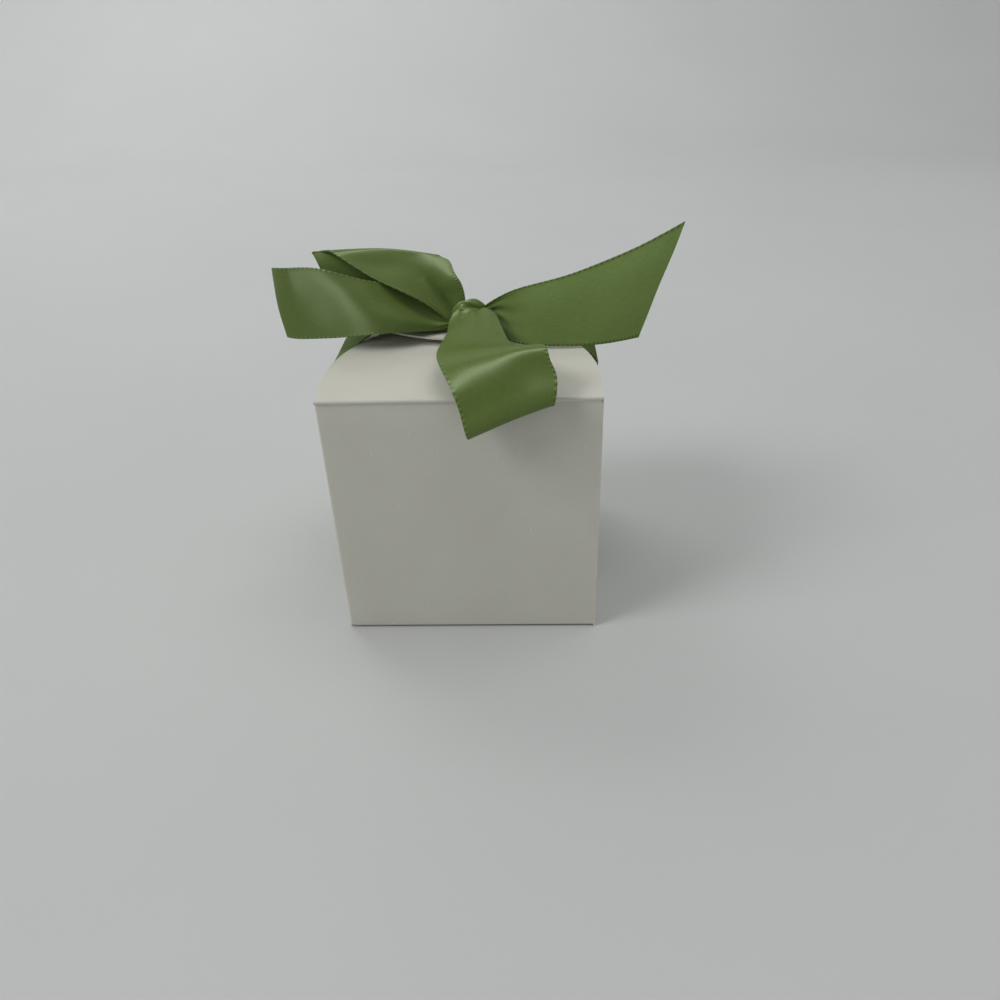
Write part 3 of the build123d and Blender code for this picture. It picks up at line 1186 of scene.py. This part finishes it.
FRONT_LOOP: tuple[Section, ...] = (
    ((-1.3, -2.8, 60.4), (0.3, -3.4, 60.3), (1.8, -3.6, 60.2), (3.2, -3.5, 60.3), (4.6, -3.0, 60.5)),
    ((-2.6, -4.0, 58.7), (-0.4, -5.2, 59.3), (1.9, -5.5, 59.8), (4.2, -5.1, 60.0), (6.1, -4.6, 59.9)),
    ((-2.8, -7.0, 57.9), (-0.6, -7.8, 58.9), (2.0, -7.8, 59.4), (4.6, -7.3, 59.5), (6.9, -6.8, 59.1)),
    ((-3.1, -11.0, 57.5), (-0.6, -11.2, 58.4), (2.2, -10.8, 58.8), (5.0, -10.2, 58.8), (7.8, -9.6, 58.2)),
    ((-3.8, -17.0, 57.5), (-0.7, -16.9, 58.1), (2.5, -16.2, 58.3), (5.8, -15.2, 58.1), (9.1, -14.0, 57.6)),
    ((-3.6, -21.0, 57.2), (0.2, -21.2, 58.4), (4.2, -20.7, 59.0), (8.2, -19.9, 59.1), (12.2, -19.0, 58.7)),
    ((-1.9, -25.5, 55.7), (2.2, -25.4, 57.4), (6.6, -24.9, 58.8), (11.0, -24.2, 59.8), (15.4, -23.5, 60.2)),
    ((-0.3, -28.5, 53.5), (3.7, -28.0, 55.1), (7.9, -27.2, 56.7), (12.1, -26.0, 57.7), (16.1, -25.0, 58.4)),
    ((0.9, -30.2, 50.2), (4.9, -29.8, 52.1), (8.9, -29.0, 53.8), (13.0, -28.0, 55.2), (17.2, -26.8, 55.8)),
    ((1.8, -31.0, 46.8), (5.6, -30.8, 48.4), (9.3, -30.2, 49.8), (13.2, -29.8, 51.2), (16.7, -28.6, 51.8)),
    ((1.9, -30.2, 46.4), (5.6, -29.9, 48.0), (9.3, -29.3, 49.4), (13.2, -28.9, 50.8), (16.6, -27.7, 51.5)),
    ((1.6, -29.3, 47.8), (5.2, -28.9, 49.3), (8.9, -28.2, 50.6), (12.9, -27.6, 51.9), (16.3, -26.6, 52.6)),
    ((0.4, -27.4, 51.6), (4.2, -26.9, 52.9), (8.0, -26.2, 54.1), (12.0, -25.4, 55.1), (15.5, -24.4, 55.9)),
    ((-1.2, -24.4, 53.7), (2.6, -24.2, 54.9), (6.6, -23.9, 56.1), (10.4, -23.4, 57.1), (14.0, -22.9, 57.6)),
    ((-2.4, -18.5, 54.9), (0.6, -18.2, 55.5), (3.8, -17.7, 56.0), (7.0, -17.0, 56.3), (10.2, -16.2, 56.3)),
    ((-2.2, -10.5, 56.0), (-0.2, -10.4, 56.4), (2.0, -10.1, 56.8), (4.2, -9.7, 57.0), (6.4, -9.2, 57.0)),
    ((-0.2, -3.4, 57.4), (0.7, -3.5, 57.7), (1.7, -3.5, 58.0), (2.6, -3.5, 58.0), (3.4, -3.4, 57.8)),
)

TOP_SPAN: tuple[tuple[Span, ...], ...] = (
    ((-7.9, 51.0), (0.0, 51.0), (7.9, 51.0)),
    ((-7.7, 51.8), (0.0, 52.0), (7.7, 52.3)),
    ((-6.6, 52.6), (0.0, 53.3), (7.2, 54.2)),
    ((-4.8, 53.8), (0.6, 54.8), (6.6, 55.8)),
    ((-2.4, 55.8), (2.0, 56.1), (6.4, 56.2)),
    ((-2.7, 56.1), (0.6, 56.1), (3.9, 56.0)),
    ((-3.2, 56.2), (-1.2, 56.2), (0.8, 56.2)),
    ((-2.8, 56.5), (-1.5, 56.5), (-0.2, 56.5)),
)
LEFT_TOP_X = (-25.6, -25.2, -23.6, -21.4, -17.6, -10.0, -5.0, -0.8)
RIGHT_TOP_X = (25.6, 25.2, 23.6, 21.4, 17.6, 11.0, 6.0, 3.0)

KNOT_ROLL: tuple[tuple[float, float, float, float], ...] = (
    (-2.0, -0.6, 58.4, 0.30),
    (-1.2, -1.8, 60.1, 0.45),
    (0.5, -2.2, 61.0, 0.70),
    (2.2, -2.2, 61.0, 0.90),
    (3.5, -2.1, 60.2, 0.80),
    (4.0, -1.6, 59.1, 0.60),
    (3.6, -1.0, 58.0, 0.30),
)


@dataclass
class RibbonTie:
    """The ribbon round the carton, and the bow on top. Millimetres."""

    finishes: Finishes
    half_width: float = 7.95
    side_x: float = 25.55
    base_z: float = 0.19
    side_top: float = 51.0
    knot_centre: Point = (0.9, -1.6, 58.6)
    knot_size: Point = (7.0, 5.6, 5.4)
    knot_ridges: int = 7
    knot_ridge_depth: float = 0.09
    knot_twist: float = 6.0
    band_lobes: int = 5
    band_lobe_depth: float = 0.06
    band_twist: float = 3.0
    band_end_power: int = 8
    flat_keep: float = 0.012

    KNOT_SUBDIVISIONS = 5
    BAND_COLUMNS = 60
    BAND_ROWS = 110
    MERGE_DISTANCE = 0.001

    def straight(self, start: Point, end: Point) -> tuple[Section, ...]:
        """Sections of a flat stretch between two places on the ribbon's middle line.

        Args:
            start: Where the stretch starts.
            end: Where it ends.

        Returns:
            The sections.
        """
        across = Vector((0.0, self.half_width, 0.0))
        middles = [Vector(start).lerp(Vector(end), share) for share in (0.0, 0.5, 1.0)]
        return tuple((tuple(middle - across), tuple(middle), tuple(middle + across)) for middle in middles)

    def over_top(self, places: tuple[float, ...]) -> tuple[Section, ...]:
        """Sections of a top span, at the places along X where they stand."""
        return tuple(tuple((x, y, z) for y, z in row) for x, row in zip(places, TOP_SPAN))

    def spans(self) -> list[RibbonStrip]:
        """The stretches round the carton.

        Returns:
            The strips.
        """
        low_left, low_right = (-self.side_x, 0.0, self.base_z), (self.side_x, 0.0, self.base_z)
        high_left, high_right = (-self.side_x, 0.0, self.side_top), (self.side_x, 0.0, self.side_top)
        return [
            RibbonStrip(
                "ribbon_under_base", "ribbon_base_span", self.straight(low_right, low_left), Hold.STRETCHED,
                flat_length=51.1, rests_on=("front_bottom_flap",),
            ),
            RibbonStrip(
                "ribbon_up_left", "ribbon_left_span", self.straight(low_left, high_left), Hold.STRETCHED,
                flat_length=50.9, rests_on=("left_panel",),
            ),
            RibbonStrip(
                "ribbon_up_right", "ribbon_right_span", self.straight(high_right, low_right), Hold.STRETCHED,
                flat_length=50.9, rests_on=("right_panel",),
            ),
            RibbonStrip(
                "ribbon_over_left", "ribbon_left_top_span", self.over_top(LEFT_TOP_X), Hold.GATHERED,
                flat_length=25.0, flat_share=0.7, rests_on=("back_closure_flap", "knot"),
            ),
            RibbonStrip(
                "ribbon_over_right", "ribbon_right_top_span", self.over_top(RIGHT_TOP_X), Hold.GATHERED,
                flat_length=23.0, flat_share=0.7, rests_on=("back_closure_flap", "knot"),
            ),
        ]

    def bow(self) -> list[RibbonStrip]:
        """The loops and tails of the bow.

        Returns:
            The strips.
        """
        return [
            RibbonStrip(
                "bow_left_loop", "left_loop", LEFT_LOOP, Hold.FOLDED, flat_length=68.0, flat_share=0.8,
                pleats=Pleats(count=2.5, depth=0.15, reach=5.0, at_end=True),
            ),
            RibbonStrip(
                "bow_front_loop", "front_loop", FRONT_LOOP, Hold.FOLDED, flat_length=76.0, flat_share=0.85,
                pleats=Pleats(count=3.0, depth=0.12, reach=6.0, at_end=True),
                creases=(Crease((-0.4, -3.9, 60.1), (-1.8, -5.0, 58.0), height=-0.6, spread=0.5, until=0.2),),
                flipped=True,
                rests_on=("front_closure_flap", "knot"),
            ),
            RibbonStrip(
                "bow_left_tail", "left_tail", LEFT_TAIL, Hold.GATHERED, flat_length=35.0, flat_share=0.9,
                pleats=Pleats(count=3.5, depth=0.1, reach=4.0),
                creases=(
                    Crease((-2.9, -2.2, 57.9), (-8.2, 0.2, 65.6), height=0.6, spread=1.0),
                    Crease((-2.4, -0.8, 59.2), (-6.9, 1.4, 65.2), height=-0.7, spread=1.0),
                ),
            ),
            RibbonStrip(
                "bow_right_tail", "right_tail", RIGHT_TAIL, Hold.GATHERED, flat_length=41.0, flat_share=0.8,
                pleats=Pleats(count=3.5, depth=0.2, reach=6.0),
            ),
        ]

    def knot(self) -> Piece:
        """Makes the knot's body, gathered into ridges.

        Returns:
            The piece.
        """
        plan = bmesh.new()
        bmesh.ops.create_icosphere(plan, subdivisions=self.KNOT_SUBDIVISIONS, radius=0.5)
        for vert in plan.verts:
            turn = np.arctan2(vert.co.z, vert.co.y)
            ridge = 1 + self.knot_ridge_depth * cos(self.knot_ridges * turn + self.knot_twist * vert.co.x)
            vert.co = Vector((vert.co.x, vert.co.y * ridge, vert.co.z * ridge))
        bmesh.ops.scale(plan, vec=self.knot_size, verts=plan.verts)
        bmesh.ops.translate(plan, vec=self.knot_centre, verts=plan.verts)
        return self.dress("bow_knot", "knot", plan)

    def band(self) -> Piece:
        """Makes the twisted roll over the knot.

        Returns:
            The piece.
        """
        roll = np.array(KNOT_ROLL)
        line = smooth_line(roll, np.linspace(0.0, 1.0, len(roll)), np.linspace(0.0, 1.0, self.BAND_ROWS + 1))
        ways = np.gradient(line[:, :3], axis=0)
        plan = bmesh.new()
        bmesh.ops.create_grid(plan, x_segments=self.BAND_COLUMNS, y_segments=self.BAND_ROWS, size=1.0)
        for vert in plan.verts:
            turn, place = vert.co.x * pi, vert.co.y
            row = round((place + 1) / 2 * self.BAND_ROWS)
            way = Vector(ways[row]).normalized()
            side = way.cross(Vector((0.0, 1.0, 0.0))).normalized()
            lobe = 1 + self.band_lobe_depth * cos(self.band_lobes * turn + self.band_twist * pi * place)
            size = float(line[row, 3]) * lobe * sqrt(max(0.0, 1.0 - place**self.band_end_power))
            vert.co = Vector(line[row, :3]) + size * (cos(turn) * side + sin(turn) * side.cross(way))
        bmesh.ops.remove_doubles(plan, verts=plan.verts, dist=self.MERGE_DISTANCE)
        bmesh.ops.recalc_face_normals(plan, faces=plan.faces)
        return self.dress("bow_band", "knot_band", plan)

    def dress(self, name: str, node: str, plan: Plan) -> Piece:
        """Gives a piece of the knot its UV map and finish, and sets it on its body.

        Args:
            name: The piece's name.
            node: The node that it stands for.
            plan: Its mesh.

        Returns:
            The piece.
        """
        uv = plan.loops.layers.uv.new(RibbonStrip.UV_MAP)
        for face in plan.faces:
            for loop in face.loops:
                loop[uv].uv = (loop.vert.co.x, RibbonStrip.WIDTH / 2 + loop.vert.co.y - self.knot_centre[1])
        piece = new_piece(name, plan, [self.finishes.satin[SatinSide.FACE]])
        piece.data.shade_smooth()
        declare(piece, Body.BOX, Slot.RIBBON, node)
        return piece

    def build(self) -> None:
        """Builds the ribbon's pieces, and gives each, but the strip under the base, a mesh of its own."""
        pieces = [strip.build(self.finishes) for strip in self.spans() + self.bow()]
        pieces += [self.knot(), self.band()]
        for piece in pieces:
            if piece.name != "ribbon_under_base":
                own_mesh(piece)


@dataclass
class Lamp:
    """A soft square lamp. Metres and watts.

    Attributes:
        name: The lamp's name.
        place: Where it hangs.
        target: Where it points.
        size: Its side.
        power: Its power.
        lights: Whether it lights surfaces.
        shines: Whether it shows as gloss.
    """

    name: str
    place: Point
    target: Point
    size: float
    power: float
    lights: bool = True
    shines: bool = True

    def hang(self) -> None:
        """Hangs the lamp in the scene."""
        data = bpy.data.lights.new(self.name, "AREA")
        data.shape = "SQUARE"
        data.size = self.size
        data.energy = self.power
        lamp = bpy.data.objects.new(self.name, data)
        lamp.location = self.place
        way = Vector(self.target) - Vector(self.place)
        lamp.rotation_euler = way.to_track_quat("-Z", "Y").to_euler()
        lamp.visible_diffuse = self.lights
        lamp.visible_glossy = self.shines
        bpy.context.scene.collection.objects.link(lamp)


@dataclass
class Studio:
    """The floor, the lights and the camera. Metres."""

    floor_half: float = 1.2
    floor_back: float = 0.55
    sweep_radius: float = 0.3
    sweep_steps: int = 24
    wall_height: float = 1.0
    world_level: float = 0.27
    world_colour: Colour = (0.98, 1.0, 0.99)
    camera_place: Point = (0.01289, -0.15266, 0.10981)
    camera_right: Point = (0.9991, 0.0287, -0.0317)
    camera_forward: Point = (-0.0411, 0.8492, -0.5265)
    camera_lens: float = 28.8
    camera_sensor: float = 36.0
    camera_clip: Span = (0.005, 20.0)
    object_middle: Point = (0.0, 0.0, 0.04)
    sweep_middle: Point = (-0.15, 0.95, 0.15)

    def floor(self) -> None:
        """Lays the floor and sweeps it up behind the object."""
        plan = bmesh.new()
        bmesh.ops.create_grid(plan, x_segments=1, y_segments=1, size=0.5)
        for vert in plan.verts:
            far = self.floor_back if vert.co.y > 0 else -self.floor_half
            vert.co = (2 * self.floor_half * vert.co.x, far, 0.0)
        edge = [e for e in plan.edges if all(v.co.y > 0 for v in e.verts)]
        swept = bmesh.ops.spin(
            plan, geom=edge + list(edge[0].verts), cent=(0.0, self.floor_back, self.sweep_radius),
            axis=(1.0, 0.0, 0.0), dvec=(0.0, 0.0, 0.0), angle=pi / 2, steps=self.sweep_steps, use_duplicate=False,
        )["geom_last"]
        last = [part for part in swept if isinstance(part, Edge)]
        pull_edges(plan, last, (0.0, 0.0, self.wall_height))
        sheet = new_piece("studio_floor", plan, [FloorFinish().material()], unit=1.0)
        sheet.data.shade_smooth()

    def lights(self) -> None:
        """Lights the scene from above and from the left."""
        world = bpy.data.worlds.new("studio_air")
        world.use_nodes = True
        air = world.node_tree.nodes["Background"]
        air.inputs["Color"].default_value = (*self.world_colour, 1.0)
        air.inputs["Strength"].default_value = self.world_level
        bpy.context.scene.world = world
        Lamp("lamp_key", (-1.12, -0.54, 1.12), self.object_middle, size=0.63, power=8.9, shines=False).hang()
        Lamp("lamp_top", (0.28, 0.04, 1.05), self.object_middle, size=0.6, power=2.45).hang()
        Lamp("lamp_wash", (-0.40, 0.50, 0.80), self.sweep_middle, size=0.5, power=2.2).hang()
        Lamp("lamp_gloss", (-0.40, -0.28, 0.98), self.object_middle, size=0.25, power=8.2, lights=False).hang()

    def camera(self) -> None:
        """Sets the camera where the photograph was taken from."""
        data = bpy.data.cameras.new("camera")
        data.lens = self.camera_lens
        data.sensor_width = self.camera_sensor
        data.clip_start, data.clip_end = self.camera_clip
        right = Vector(self.camera_right).normalized()
        back = -Vector(self.camera_forward).normalized()
        up = back.cross(right).normalized()
        right = up.cross(back)
        turn = Matrix((right, up, back)).transposed().to_4x4()
        camera = bpy.data.objects.new("camera", data)
        camera.matrix_world = Matrix.Translation(self.camera_place) @ turn
        bpy.context.scene.collection.objects.link(camera)
        bpy.context.scene.camera = camera

    def build(self) -> None:
        """Builds the studio."""
        self.floor()
        self.lights()
        self.camera()
        bpy.context.scene.view_settings.view_transform = "Standard"


def main() -> None:
    """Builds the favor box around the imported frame."""
    logging.basicConfig(level=logging.INFO, format="%(name)s: %(message)s")
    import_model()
    finishes = make_finishes()
    Studio().build()
    RibbonTie(finishes).build()
    Carton(finishes).build()


if __name__ == "__main__":
    main()
